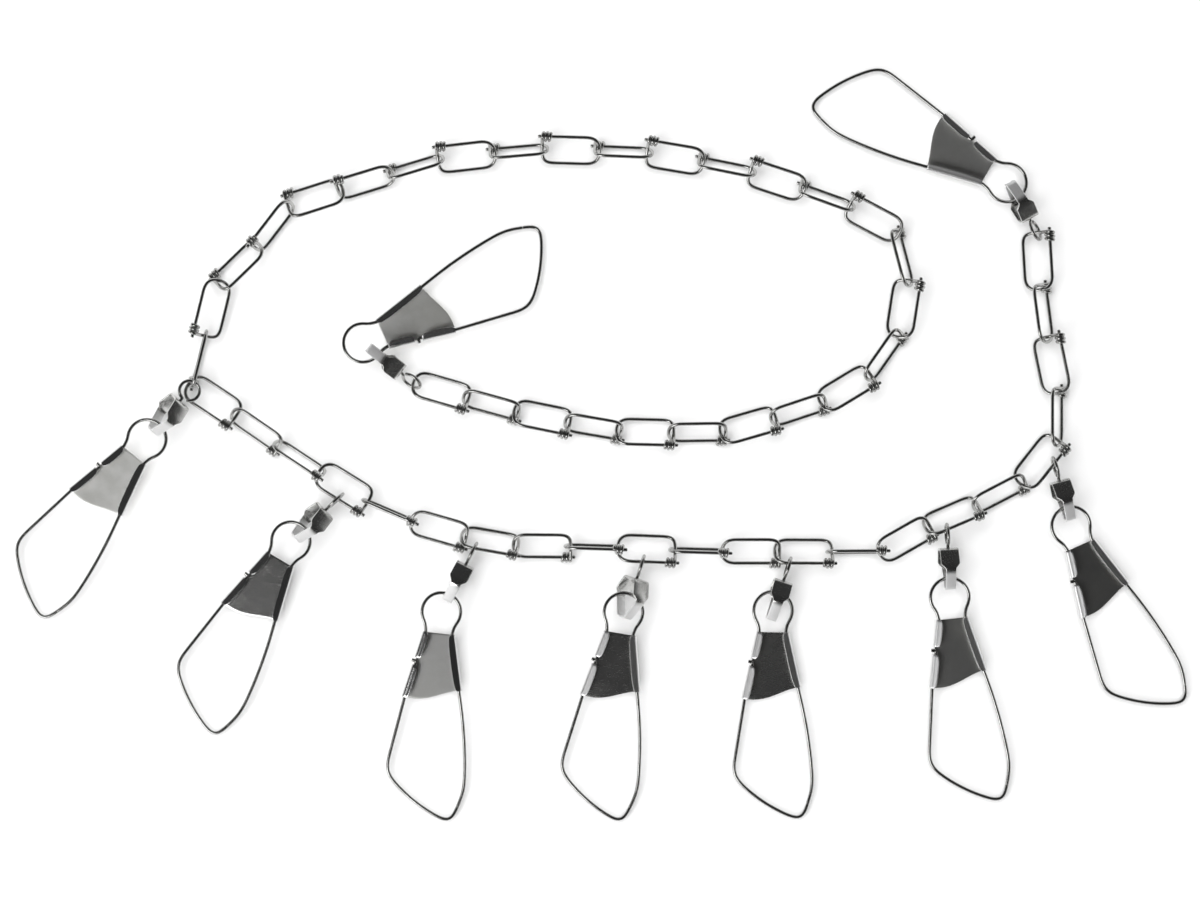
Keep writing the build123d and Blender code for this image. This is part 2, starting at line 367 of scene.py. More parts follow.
def new_mesh(name: str, shape: Shape, scale: float, sharp: float) -> bpy.types.Mesh:
    """A mesh of a surface, smooth apart from edges sharper than an angle.

    Args:
        name: the mesh's name.
        shape: the surface.
        scale: the mesh's units for each of the surface's.
        sharp: the angle in degrees.

    Returns:
        The mesh.
    """
    mesh = bpy.data.meshes.new(name)
    mesh.from_pydata((shape.vertices * scale).tolist(), [], shape.faces)
    mesh.polygons.foreach_set("use_smooth", np.ones(len(mesh.polygons), bool))
    mesh.set_sharp_from_angle(angle=radians(sharp))
    if shape.rubbed_and_painted_light is not None:
        rough_and_painted_light_mask = mesh.attributes.new(RUBBED_AND_PAINTED_LIGHT, "FLOAT", "POINT")
        rough_and_painted_light_mask.data.foreach_set("value", shape.rubbed_and_painted_light.astype(np.float32))
    mesh.validate()
    mesh.update()
    return mesh


def new_object(name: str, data: bpy.types.ID) -> bpy.types.Object:
    """A new object in the scene.

    Args:
        name: the object's name.
        data: its mesh, light or camera.

    Returns:
        The object.
    """
    made = bpy.data.objects.new(name, data)
    bpy.context.scene.collection.objects.link(made)
    return made


def finished(shape: Shape, dress: Callable[[bpy.types.Object], list[bpy.types.Object]]) -> Shape:
    """A surface after modifiers: a spare object carries them, and the result is read back.

    Args:
        shape: the surface.
        dress: adds modifiers to the spare object, and returns the helpers that they need.

    Returns:
        The finished surface.
    """
    spare = new_object("spare", new_mesh("spare", shape, 1.0, NEVER_SHARP))
    helpers = dress(spare)
    bpy.context.view_layer.update()
    made = bpy.data.meshes.new_from_object(spare.evaluated_get(bpy.context.evaluated_depsgraph_get()))
    points = np.empty(len(made.vertices) * 3, np.float32)
    made.vertices.foreach_get("co", points)
    result = Shape(points.reshape(-1, 3).astype(float), [tuple(face.vertices) for face in made.polygons])
    for thing in [spare, *helpers]:
        data = thing.data
        bpy.data.objects.remove(thing)
        bpy.data.meshes.remove(data)
    bpy.data.meshes.remove(made)
    return result


class Nodes:
    """A short hand for adding and linking shader nodes in one tree."""

    def __init__(self, tree: bpy.types.NodeTree) -> None:
        """Takes the tree."""
        self.tree = tree

    @classmethod
    def of(cls, owner: bpy.types.Material | bpy.types.World) -> "Nodes":
        """The emptied nodes of a material or a world.

        Args:
            owner: the material or the world.

        Returns:
            Its nodes.
        """
        owner.use_nodes = True
        owner.node_tree.nodes.clear()
        return cls(owner.node_tree)

    def add(self, kind: str, inputs: dict | None = None, **settings: object) -> bpy.types.Node:
        """Adds a node, sets its options, and sets or links its inputs.

        Args:
            kind: the node's type.
            inputs: values or sockets by input name or number.
            settings: the node's own options.

        Returns:
            The node.
        """
        node = self.tree.nodes.new(kind)
        for name, value in settings.items():
            setattr(node, name, value)
        for name, value in (inputs or {}).items():
            if isinstance(value, Socket):
                self.tree.links.new(value, node.inputs[name])
            else:
                node.inputs[name].default_value = value
        return node

    def noise(self, place: Socket, scale: Socket, detail: float, rough: float) -> Socket:
        """The value of a noise of a scale, a detail and a roughness."""
        inputs = {"Vector": place, "Scale": scale, "Detail": detail, "Roughness": rough}
        return self.add("ShaderNodeTexNoise", inputs).outputs["Fac"]

    def soft_range(self, value: Socket, low: float, high: float) -> Socket:
        """A value spread softly from 0 at one limit to 1 at the other."""
        inputs = {"Value": value, "From Min": low, "From Max": high}
        return self.add("ShaderNodeMapRange", inputs, interpolation_type="SMOOTHSTEP").outputs["Result"]

    def between(self, share: Socket, low: Socket, high: Socket) -> Socket:
        """The value at a share of the way from one to another."""
        inputs = {"Value": share, "To Min": low, "To Max": high}
        return self.add("ShaderNodeMapRange", inputs).outputs["Result"]

    def mix(self, share: Socket, first: Socket, second: Socket | Colour) -> Socket:
        """The colour at a share of the way from one to another."""
        inputs = {"Factor": share, MIX_FIRST: first, MIX_SECOND: second}
        return self.add("ShaderNodeMix", inputs, data_type="RGBA").outputs[MIX_RESULT]


@dataclass(frozen=True)
class PlatingGroup:
    """The shader group of bright plating: cloudy tone, fine scuffs and a faint ripple."""

    name: str = "Plating"
    cloud_detail: float = 4.0
    cloud_rough: float = 0.55
    cloud_range: tuple[float, float] = (0.35, 0.7)
    cloud_share: float = 0.6
    scuff_detail: float = 5.0
    scuff_rough: float = 0.6
    scuff_range: tuple[float, float] = (0.5, 0.78)
    scuff_turn: float = 0.6
    scuff_stretch: tuple[float, float, float] = (1.0, 9.0, 4.0)

    def build(self) -> bpy.types.NodeTree:
        """Makes the group once.

        The tone is mixed by a cloud of noise, and the roughness rises with the cloud and in the scuffs,
        which are noise stretched along one axis. Both go over to a roughness and a painted light tone of
        their own where the piece's mask attribute marks it. The ripple, for the bump, is the sum of the two
        noises.

        Returns:
            The group's tree.
        """
        tree = bpy.data.node_groups.new(self.name, "ShaderNodeTree")
        colour, number = "NodeSocketColor", "NodeSocketFloat"
        inputs = {"Bright": colour, "Dull": colour, "Cloud Scale": number, "Scuff Scale": number}
        inputs |= {"Smooth": number, "Scuffed": number, "Rubbed": number, "Rubbed Tone": colour}
        outputs = {"Color": colour, "Roughness": number, "Height": number}
        for side, sockets in [("INPUT", inputs), ("OUTPUT", outputs)]:
            for label, kind in sockets.items():
                tree.interface.new_socket(label, in_out=side, socket_type=kind)
        nodes = Nodes(tree)
        given = nodes.add("NodeGroupInput").outputs
        spot = nodes.add("ShaderNodeTexCoord").outputs["Object"]
        cloud = nodes.noise(spot, given["Cloud Scale"], self.cloud_detail, self.cloud_rough)
        laid = {"Vector": spot, "Rotation": (0, 0, self.scuff_turn), "Scale": self.scuff_stretch}
        stretched = nodes.add("ShaderNodeMapping", laid).outputs["Vector"]
        scuff = nodes.noise(stretched, given["Scuff Scale"], self.scuff_detail, self.scuff_rough)
        cloudy = nodes.soft_range(cloud, *self.cloud_range)
        marked = nodes.soft_range(scuff, *self.scuff_range)
        clouded = nodes.mix(cloudy, given["Bright"], given["Dull"])
        rough_and_painted_light_mask = nodes.add("ShaderNodeAttribute", attribute_name=RUBBED_AND_PAINTED_LIGHT).outputs["Fac"]
        # Painted light: where the mask is, the tone goes over to a painted highlight or painted shade tone
        tone = nodes.mix(rough_and_painted_light_mask, clouded, given["Rubbed Tone"])
        shares = {0: cloudy, 1: self.cloud_share, 2: marked}
        mottle = nodes.add("ShaderNodeMath", shares, operation="MULTIPLY_ADD").outputs[0]
        satin = nodes.between(mottle, given["Smooth"], given["Scuffed"])
        rough = nodes.between(rough_and_painted_light_mask, satin, given["Rubbed"])
        ripple = nodes.add("ShaderNodeMath", {0: cloud, 1: scuff}, operation="ADD").outputs[0]
        nodes.add("NodeGroupOutput", {"Color": tone, "Roughness": rough, "Height": ripple})
        return tree


@dataclass(frozen=True)
class Plating:
    """One plated finish: its two tones, how smooth and how scuffed it is, its grain, and the roughness and
    painted light tone of its marked places.
    """

    kind: FinishKind
    bright: float
    dull: float
    smooth: float
    scuffed: float
    cloud_scale: float = 160.0
    scuff_scale: float = 900.0
    bump: float = 0.05
    ripple_depth: float = 0.0002
    # The roughness and the painted light tone of the places that the mask marks
    rubbed_and_painted_light: float = 0.6
    painted_light_tone: float = 0.95
    bright_blue: float = 0.985
    dull_blue: float = 0.97

    def material(self, group: bpy.types.NodeTree, name: str) -> bpy.types.Material:
        """The finish as a metal material with the plating group's tone, roughness and ripple.

        Args:
            group: the plating group.
            name: the material's name.

        Returns:
            The material.
        """
        made = bpy.data.materials.new(name)
        nodes = Nodes.of(made)
        given = {
            "Bright": grey(self.bright, self.bright_blue),
            "Dull": grey(self.dull, self.dull_blue),
            "Cloud Scale": self.cloud_scale,
            "Scuff Scale": self.scuff_scale,
            "Smooth": self.smooth,
            "Scuffed": self.scuffed,
            "Rubbed": self.rubbed_and_painted_light,
            "Rubbed Tone": grey(self.painted_light_tone),
        }
        plating = nodes.add("ShaderNodeGroup", given, node_tree=group).outputs
        ripple = {"Strength": self.bump, "Distance": self.ripple_depth, "Height": plating["Height"]}
        bump = nodes.add("ShaderNodeBump", ripple)
        shader = nodes.add(
            "ShaderNodeBsdfPrincipled",
            {
                "Base Color": plating["Color"],
                "Roughness": plating["Roughness"],
                "Metallic": 1.0,
                "Normal": bump.outputs["Normal"],
            },
        )
        nodes.add("ShaderNodeOutputMaterial", {"Surface": shader.outputs["BSDF"]})
        return made


@dataclass
class Workshop:
    """Turns surfaces into pieces that ride on their bodies, with the layout's own shift."""

    shift: np.ndarray
    made: int = 0

    def piece(
        self, name: str, shape: Shape, body: str, node: str, kind: FinishKind, material: bpy.types.Material
    ) -> None:
        """Adds one piece in place of a node of the frame.

        Args:
            name: the piece's name.
            shape: its surface in the layout, in millimetres.
            body: the body that it rides on.
            node: the node that it stands for.
            kind: its finish.
            material: its material.
        """
        moved = Shape(shape.vertices + self.shift, shape.faces, shape.rubbed_and_painted_light)
        made = new_object(name, new_mesh(name, moved, MM, kind.sharp))
        made.data.materials.append(material)
        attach(made, body)
        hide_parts(node)
        low, high = (np.array(corner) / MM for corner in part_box(node))
        gaps = np.concatenate([moved.vertices.min(0) - low, high - moved.vertices.max(0)])
        report = "%s rides on %s, from %.2f to %.2f mm inside its node's box"
        log.info(report, name, body, gaps.min(), gaps.max())
        self.made += 1


@dataclass
class Chain:
    """The knotted wire links and the way they lie, from the first snap round to the last.

    The route's points are where the chain passes, the leans are the links' own in degrees, and each
    run end is the number of the last link in a run.
    """

    wire: float = 1.6
    width: float = 14.0
    length: float = 27.3
    tail: float = 1.3
    knot_gap: float = 0.14
    knot_pitch: float = 1.7
    knot_turns: float = 2.25
    knot_steps: int = 53
    bar_join: float = 0.25
    hook_gap: float = 0.3
    hang: float = 1.4
    plain_end_flats: int = 6
    end_fullness: float = 0.8
    end_steps: int = 25
    end_ease: float = 4.0
    corner_ease: float = 15.0
    knot_ease: float = 1.8
    spacing: float = 0.45
    sides: int = 14
    route: tuple[tuple[float, float], ...] = (
        (-81, 29), (-36, 16), (11, 7), (59, 7), (104, 22), (122, 32), (136, 53), (139, 74), (135, 97),
        (116, 107), (71, 123), (26, 132), (-23, 134), (-69, 130), (-112, 117), (-140, 108), (-151, 92),
        (-170, 74), (-182, 26), (-167, 18), (-132, -6), (-95, -29), (-47, -43), (0, -44), (50, -46),
        (99, -46), (124, -47), (140, -38), (181, -20), (198, -9), (205, 6), (205, 24), (198, 61),
        (196, 90),
    )
    leans: tuple[int, ...] = (
        -25, 52, -25, 52, -25, 52, -25, 52, -25, 60, -25, 65, -25, 65, -25, 65, -25, 65, -25, 65, -25, 65,
        -50, 24, -66, 40, -30, 80, -10, 50, -70, -12, -88, 25, -45, 35, -85, -22, -85, 30, -35, -95, 25,
        -42, 50, -25, 62, -22, 55, -22,
    )
    run_ends: tuple[int, ...] = (3, 7, 10, 13, 17, 21, 24, 29, 32, 36, 38, 43, 46, 48, 50)

    @property
    def radius(self) -> float:
        """The radius of the plain end's middle line, and half the way between the sides."""
        return (self.width - self.wire) / 2

    @property
    def bar_x(self) -> float:
        """How far the end bar is from the plain end's centre."""
        return self.length - self.wire - self.radius

    def link(self) -> Shape:
        """One link: the side, round the plain end, the other side, the end bar and the knot.

        The plain end is a half circle whose sine and cosine are raised to end_fullness, which fills
        its corners. The knot is a helix about the first side, a wire and a gap off its middle line.

        Returns:
            The link's surface, its plain end's centre at the origin.
        """
        reach, bar = self.radius, self.bar_x
        coil = self.wire + self.knot_gap
        plain = pi * np.linspace(0, 1, self.end_steps)
        back, aside = np.sin(plain) ** self.end_fullness, np.cos(plain)
        aside = np.sign(aside) * np.abs(aside) ** self.end_fullness
        turns = 2 * pi * np.linspace(0, self.knot_turns, self.knot_steps)
        advance = bar - self.knot_pitch * turns / (2 * pi)
        knot = np.stack([advance, -reach - coil * np.sin(turns), coil * np.cos(turns)], -1)
        beside, halfway = (bar / 2, reach, 0), (bar, -reach * self.bar_join, 0)
        sides = [
            (bar + self.wire / 2 + self.tail, -reach, 0),
            *np.stack([-reach * back, -reach * aside, 0 * plain], -1),
            beside,
        ]
        corner = [beside, (bar, reach, 0), halfway]
        wrap = [halfway, (bar, 2 * coil - reach, 0), *knot]
        line = np.vstack(
            [
                bend_line(sides, self.end_ease, self.spacing),
                bend_line(corner, self.corner_ease, self.spacing)[1:],
                bend_line(wrap, self.knot_ease, self.spacing)[1:],
            ]
        )
        return round_wire(line, self.wire, UP, self.sides)

    def places(self) -> list[Frame]:
        """Where each link lies: its end hooked in the bar before it, leaning as given, on the table.

        Returns:
            One frame for each link.
        """
        route = np.array([level_point(*point) for point in self.route])
        lengths = distances(route)
        heights = [self.radius * abs(sin(radians(lean))) + self.wire / 2 for lean in self.leans]
        inside = self.radius * cos(pi / 2 / self.plain_end_flats) - self.wire / 2
        places: list[Frame] = []
        travelled, joint = 0.0, route[0]
        for number, lean in enumerate(self.leans):
            height = max(heights[number], max(heights[max(number - 1, 0) : number + 2]) - self.hang)
            goal = on_line(min(travelled + self.length, lengths[-1]), lengths, route)
            along = unit((goal - joint) * (1, 1, 0))
            side = np.cross(UP, along) * cos(radians(lean)) + UP * sin(radians(lean))
            normal = np.cross(along, side)
            if number:
                bar, rise = places[-1].axes[1], height - joint[2]
            else:
                bar, rise, joint = normal, 0.0, np.array([joint[0], joint[1], height])
            reach = inside - self.wire / 2 / abs(bar.dot(normal)) - self.hook_gap
            crossing = bar * (rise * UP.dot(normal) / bar.dot(normal)) - UP * rise
            step = crossing.dot(along) + sqrt(reach**2 - crossing.dot(side) ** 2)
            centre = joint + along * step + UP * rise
            places.append(Frame.facing(centre, along, normal))
            joint = centre + along * self.bar_x
            travelled += step + self.bar_x
        return places

    def build(self, shop: Workshop, places: list[Frame], material: bpy.types.Material) -> None:
        """Adds one piece for each run of links.

        Args:
            shop: makes the pieces.
            places: the links' frames.
            material: the link wire's material.
        """
        link = self.link()
        for number, (first, last) in enumerate(zip([0, *self.run_ends], self.run_ends), 1):
            shape = Shape.joined([link.placed(place) for place in places[first:last]])
            run = f"{number:02d}"
            shop.piece(f"links_{run}", shape, f"run_{run}", f"chain_run_{run}", FinishKind.LINK, material)


@dataclass
class Swivel:
    """The swivel between a link and a snap: an eye on a headed shank, and the box that it turns in.

    The head's dome is given by points: how far before its end, and the share of its radius.
    """

    eye_wire: float = 1.5
    eye_ease: float = 2.0
    eye_spacing: float = 0.4
    eye_sides: int = 14
    ring_diameter: float = 10.5
    ring_ride: float = 0.9
    ring_flats: int = 8
    ring_steps: int = 41
    neck: float = 0.8
    head_diameter: float = 4.2
    head_thickness: float = 1.4
    head_core: float = 0.5
    head_rim: float = 0.2
    head_dome: tuple[tuple[float, float], ...] = ((0.8, 0.96), (0.3, 0.7), (0.05, 0.35))
    head_tip: float = 0.1
    head_sides: int = 20
    strip: float = 0.9
    strip_edge: float = 0.28
    strip_edge_steps: int = 4
    strip_ease: float = 3.6
    strip_spacing: float = 0.5
    shoulder: float = 3.0
    length: float = 18.6
    height: float = 17.0
    shank_wall: float = 8.4
    tongue_wall: float = 5.4
    width: float = 8.4
    tongue_width: float = 4.6
    gap: float = 0.3
    seat_rise: float = 0.6
    hook_gap: float = 0.3
    pin_overshoot: float = 2.0
    pin_sides: int = 24

    @property
    def ring_radius(self) -> float:
        """The radius of the ring's middle line."""
        return (self.ring_diameter - self.eye_wire) / 2

    @property
    def ring_to_box(self) -> float:
        """The way from the ring's centre to the box's middle."""
        return self.ring_radius + self.eye_wire / 2 + self.neck + self.length / 2

    @property
    def shank_end(self) -> float:
        """The way from the ring's centre to the head's flat face."""
        return self.ring_to_box - self.length / 2 + self.strip + self.gap

    def eye(self) -> Shape:
        """The eye: a straight shank bent into a ring, and a turned head on the shank's end.

        Returns:
            The surface, the ring's centre at the origin and the shank towards +X.
        """
        sweep = 2 * pi - 2 * asin((self.eye_wire + self.hook_gap) / 2 / self.ring_radius)
        turns = sweep * np.linspace(0, 1, self.ring_steps)
        ring = self.ring_radius * np.stack([np.cos(turns), 0 * turns, np.sin(turns)], -1)
        start, end, reach = self.shank_end, self.shank_end + self.head_thickness, self.head_diameter / 2
        shank = (start + self.head_thickness / 2, 0, 0)
        line = bend_line([shank, *ring], self.eye_ease, self.eye_spacing)
        wire = round_wire(line, self.eye_wire, SIDEWAYS, self.eye_sides)
        rim = [(start, self.head_core), (start, reach - self.head_rim), (start + self.head_rim, reach)]
        dome = [(end - before, reach * share) for before, share in self.head_dome]
        head = turned([*rim, *dome, (end, self.head_tip)], self.head_sides)
        return Shape.joined([wire, head])

    def strip_width(self, x: np.ndarray) -> np.ndarray:
        """The strip's width along the box: full at the shank, eased down to the tongue by the middle."""
        return self.width + (self.tongue_width - self.width) * soft_step((x + self.shoulder) / self.shoulder)

    def box(self) -> Shape:
        """The box: a strip with rounded edges carried round an eased six-sided loop, bored for the shank.

        At each step of the loop the profile is a rectangle, the strip's width across and its
        thickness inwards, whose corners are quarter circles of strip_edge.

        Returns:
            The surface, its middle at the origin and the tongue towards +X.
        """
        end, top = self.length / 2, self.height / 2
        wall, tongue = self.shank_wall / 2, self.tongue_wall / 2
        lower = [(-end, 0, -wall), (0, 0, -top), (end, 0, -tongue)]
        upper = [(end, 0, tongue), (0, 0, top), (-end, 0, wall)]
        line = bend_line([*lower, *upper], self.strip_ease, self.strip_spacing, closed=True)
        tangents = unit(np.roll(line, -1, 0) - np.roll(line, 1, 0))
        inward = np.cross(tangents, SIDEWAYS)
        inward *= np.sign(np.sum(inward * -line, axis=1).sum())
        arc = np.linspace(0, pi / 2, self.strip_edge_steps)
        turn = np.concatenate([arc, arc + pi / 2, arc + pi, arc + 3 * pi / 2])
        across_sign = np.repeat([1, -1, -1, 1], self.strip_edge_steps)
        depth_sign = np.repeat([1, 1, -1, -1], self.strip_edge_steps)
        edge, half = self.strip_edge, self.strip / 2
        across = across_sign * (self.strip_width(line[:, 0])[:, None] / 2 - edge) + edge * np.cos(turn)
        depth = half + depth_sign * (half - edge) + edge * np.sin(turn)
        vertices = line[:, None] + inward[:, None] * depth[None, :, None] + across[..., None] * SIDEWAYS
        faces = face_list(grid_faces(len(line), len(turn), True, True))

        def bore(spare: bpy.types.Object) -> list[bpy.types.Object]:
            """Cuts the shank's hole with a pin.

            Args:
                spare: the object to cut.

            Returns:
                The pin.
            """
            radius, past = self.eye_wire / 2 + self.gap, self.pin_overshoot
            pin = turned([(-end - past, radius), (-end + self.strip + past, radius)], self.pin_sides)
            cutter = new_object("pin", new_mesh("pin", pin, 1.0, PLAIN_SHARP))
            cut = spare.modifiers.new("bore", "BOOLEAN")
            cut.operation, cut.solver, cut.object = "DIFFERENCE", "EXACT", cutter
            return [cutter]

        made = finished(Shape(vertices.reshape(-1, 3), faces), bore)
        # Painted highlight: the tongue half is marked to take a paler tone, along with a rougher finish
        made.rubbed_and_painted_light = soft_step(made.vertices[:, 0] / self.shoulder)
        return made


@dataclass
class Snap:
    """One safety-pin snap: a wire with an eye and two legs, and the plate folded over them."""

    wire: float = 1.6
    eye_diameter: float = 19.0
    eye_flats: int = 8
    eye_steps: int = 41
    neck: float = 5.8
    neck_angle: float = 50.0
    length: float = 104.5
    far_corner_y: float = 15.0
    bulge_at: tuple[float, float] = (79.0, 19.4)
    catch_corner_at: tuple[float, float] = (74.2, -16.8)
    leg_bow: float = 1.2
    slant_bow: float = 2.6
    bow_steps: int = 13
    gate_join: float = 0.3
    gate_tip: float = 2.2
    hinge_gap: float = 0.1
    neck_ease: float = 5.0
    ease: float = 19.0
    tip_ease: float = 1.6
    spacing: float = 0.6
    tip_spacing: float = 0.4
    cut_nose: float = 0.05
    sides: int = 14
    sheet: float = 0.5
    sheet_edge: float = 0.12
    sheet_edge_steps: int = 2
    sheet_edge_angle: float = 50.0
    plate_top: float = 9.8
    fixed_end_at: tuple[float, float] = (34.4, 11.8)
    catch_end_at: tuple[float, float] = (39.9, -11.9)
    edge_bow: float = 3.2
    flat_steps: int = 20
    tab_length: float = 12.0
    tab_steps: int = 12
    tab_notch: float = 3.6
    notch_steps: int = 4
    notch_roll_steps: int = 10
    far_tab_steps: int = 14
    fold_gap: float = 0.25
    roll_steps: int = 13
    lip: float = 1.9
    lip_shares: tuple[float, ...] = (1.0, 0.6, 0.25)
    lip_slope: float = 18.0
    lip_corner: float = 0.4
    lip_power: int = 3

    def __post_init__(self) -> None:
        """Works out the corners that the pieces share."""
        self.eye_radius = (self.eye_diameter - self.wire) / 2
        self.far = self.length - self.eye_diameter / 2 - self.wire / 2
        self.eye_inside = self.eye_radius * cos((pi - radians(self.neck_angle)) / self.eye_flats)
        self.fold_inside = self.wire / 2 + self.fold_gap
        self.fold_outside = self.fold_inside + self.sheet
        self.catch_start = level_point(self.plate_top, -self.neck)
        self.catch_end = level_point(*self.catch_end_at)
        self.fixed_start = level_point(self.plate_top, self.neck)
        self.fixed_end = level_point(*self.fixed_end_at)
        self.catch_line = unit(self.catch_end - self.catch_start)
        self.fixed_line = unit(self.fixed_end - self.fixed_start)
        self.catch_out = np.cross(self.catch_line, UP)
        self.fixed_out = np.cross(UP, self.fixed_line)
        self.far_corner = level_point(self.far, self.far_corner_y)
        self.bulge = level_point(*self.bulge_at)
        self.catch_corner = level_point(*self.catch_corner_at)
        self.elbow = (self.bulge + self.far_corner) / 2

    def bowed(self, start: np.ndarray, end: np.ndarray, out: np.ndarray, bow: float) -> np.ndarray:
        """A run bowed as a parabola: start + (end - start) t + out 4 bow t (1 - t).

        Args:
            start: its first point.
            end: its last point.
            out: the unit direction of the bow.
            bow: how far its middle stands out.

        Returns:
            Points as rows.
        """
        share = np.linspace(0, 1, self.bow_steps)[:, None]
        return start + (end - start) * share + out * (4 * bow * share * (1 - share))

    def body_wire(self) -> Shape:
        """The wire from its end in the first tab, round the eye and down the fixed leg to the elbow.

        Returns:
            The surface, the eye's centre at the origin and the far end towards +X.
        """
        neck = radians(self.neck_angle)
        turns = np.linspace(neck, 2 * pi - neck, self.eye_steps)
        eye = self.eye_radius * np.stack([np.cos(turns), -np.sin(turns), 0 * turns], -1)
        halfway = (self.fixed_start + self.fixed_end) / 2
        neck_line = [
            self.catch_start + self.catch_line * (self.tab_length - self.fold_outside),
            self.catch_start,
            *eye,
            self.fixed_start,
            halfway,
        ]
        leg = self.bowed(self.fixed_end, self.bulge, self.fixed_out, self.leg_bow)
        line = np.vstack(
            [
                bend_line(neck_line, self.neck_ease, self.spacing),
                bend_line([halfway, *leg, self.elbow], self.ease, self.spacing)[1:],
            ]
        )
        return round_wire(line, self.wire, UP, self.sides, self.cut_nose)

    def gate_wire(self) -> Shape:
        """The wire's springy end: from the elbow round the far end, up the catch leg to its hooked tip.

        Returns:
            The surface, in the body wire's frame.
        """
        slant = unit(self.catch_corner - self.far_corner)
        tip = self.catch_start + self.catch_line * (self.tab_length + self.tab_notch / 2)
        leg = self.catch_end + (self.catch_corner - self.catch_end) * self.gate_join
        main = [
            self.elbow + unit(self.far_corner - self.elbow) * self.hinge_gap,
            *self.bowed(self.far_corner, self.catch_corner, np.cross(UP, slant), self.slant_bow),
            leg,
        ]
        hook = [leg, self.catch_end, tip, tip + self.catch_out * self.gate_tip]
        line = np.vstack(
            [
                bend_line(main, self.ease, self.spacing),
                bend_line(hook, self.tip_ease, self.tip_spacing)[1:],
            ]
        )
        return round_wire(line, self.wire, UP, self.sides, self.cut_nose)

    def plate(self) -> Shape:
        """The clasp plate: one sheet, flat under the legs and rolled over each of them.

        Across, the sheet runs from the lip over the catch leg, half round that leg, flat to the
        fixed leg, half round it and on to its lip. The lips rise by lip_slope, and each tab's lip
        has rounded corners: over the tab's share u it is lip_corner + (1 - lip_corner)
        sqrt(1 - |2 u - 1|^lip_power) of its width. Along, the sheet follows the legs, and its lower edge
        bows by edge_bow times sin(pi v) (1 - v) over the flat's share v. The notch between the two tabs
        on the catch side is left open, and the sheet gets its thickness last.

        Returns:
            The surface, in the body wire's frame.
        """
        middle = self.fold_inside + self.sheet / 2
        length = np.linalg.norm(self.catch_end - self.catch_start)
        notch_start, notch_end = self.tab_length, self.tab_length + self.tab_notch
        along = np.concatenate(
            [
                np.linspace(0, notch_start, self.tab_steps + 1),
                np.linspace(notch_start, notch_end, self.notch_steps + 1)[1:],
                np.linspace(notch_end, length, self.far_tab_steps + 1)[1:],
            ]
        )
        share = along / length
        far_tab = (along - notch_end) / (length - notch_end)
        tab = np.where(along <= notch_start, along / notch_start, far_tab)
        roll = np.linspace(pi / 2, -pi / 2, self.roll_steps)
        lip = -self.lip * np.array(self.lip_shares)

        def fold(u: np.ndarray) -> tuple[np.ndarray, np.ndarray]:
            """A fold over a leg: the lip, then half round.

            Args:
                u: each row's share of its tab.

            Returns:
                How far each row's points stand out and up.
            """
            corner = np.sqrt(1 - np.abs(2 * np.clip(u, 0, 1) - 1) ** self.lip_power)
            reach = (self.lip_corner + (1 - self.lip_corner) * corner)[:, None] * lip
            rows = np.ones((len(u), 1))
            rise = middle - reach * tan(radians(self.lip_slope))
            out = np.hstack([reach, rows * middle * np.cos(roll)])
            return out, np.hstack([rise, rows * middle * np.sin(roll)])

        flat = np.linspace(0, 1, self.flat_steps + 1)[1:-1]
        catch = self.catch_start + share[:, None] * (self.catch_end - self.catch_start)
        fixed = self.fixed_start + share[:, None] * (self.fixed_end - self.fixed_start)
        out, rise = fold(tab)
        catch_fold = catch[:, None] + out[..., None] * self.catch_out + rise[..., None] * UP
        out, rise = fold(share)
        fixed_fold = fixed[:, None] + out[:, ::-1, None] * self.fixed_out + rise[:, ::-1, None] * UP
        lower = self.edge_bow * np.sin(pi * flat) * (1 - flat)
        sheet = catch[:, None] + flat[:, None] * (fixed - catch)[:, None] - middle * UP
        sheet = sheet + (share**2)[:, None, None] * lower[:, None] * unit(self.catch_line + self.fixed_line)
        surface = np.concatenate([catch_fold, sheet, fixed_fold], axis=1)
        rows, columns = surface.shape[:2]
        faces = grid_faces(rows, columns, False, False)
        row, column = faces[:, 0] // columns, faces[:, 0] % columns
        notch = (row >= self.tab_steps) & (row < self.tab_steps + self.notch_steps)
        notch &= column < len(lip) + self.notch_roll_steps

        def thicken(spare: bpy.types.Object) -> list[bpy.types.Object]:
            """Adds the sheet's thickness and its eased edges.

            Args:
                spare: the object to thicken.

            Returns:
                No helpers.
            """
            solid = spare.modifiers.new("sheet", "SOLIDIFY")
            solid.thickness, solid.offset = self.sheet, 0.0
            edge = spare.modifiers.new("edge", "BEVEL")
            edge.width, edge.segments = self.sheet_edge, self.sheet_edge_steps
            edge.limit_method, edge.angle_limit = "ANGLE", radians(self.sheet_edge_angle)
            return []

        made = finished(Shape(surface.reshape(-1, 3), face_list(faces[~notch])), thicken)
        # Painted light and shade: the folds are marked to take each snap's own fold tone, lighter or darker
        # for how they mirror the lamp, and its roughness
        made.rubbed_and_painted_light = soft_step((made.vertices[:, 2] + self.fold_inside) / self.fold_inside)
        return made


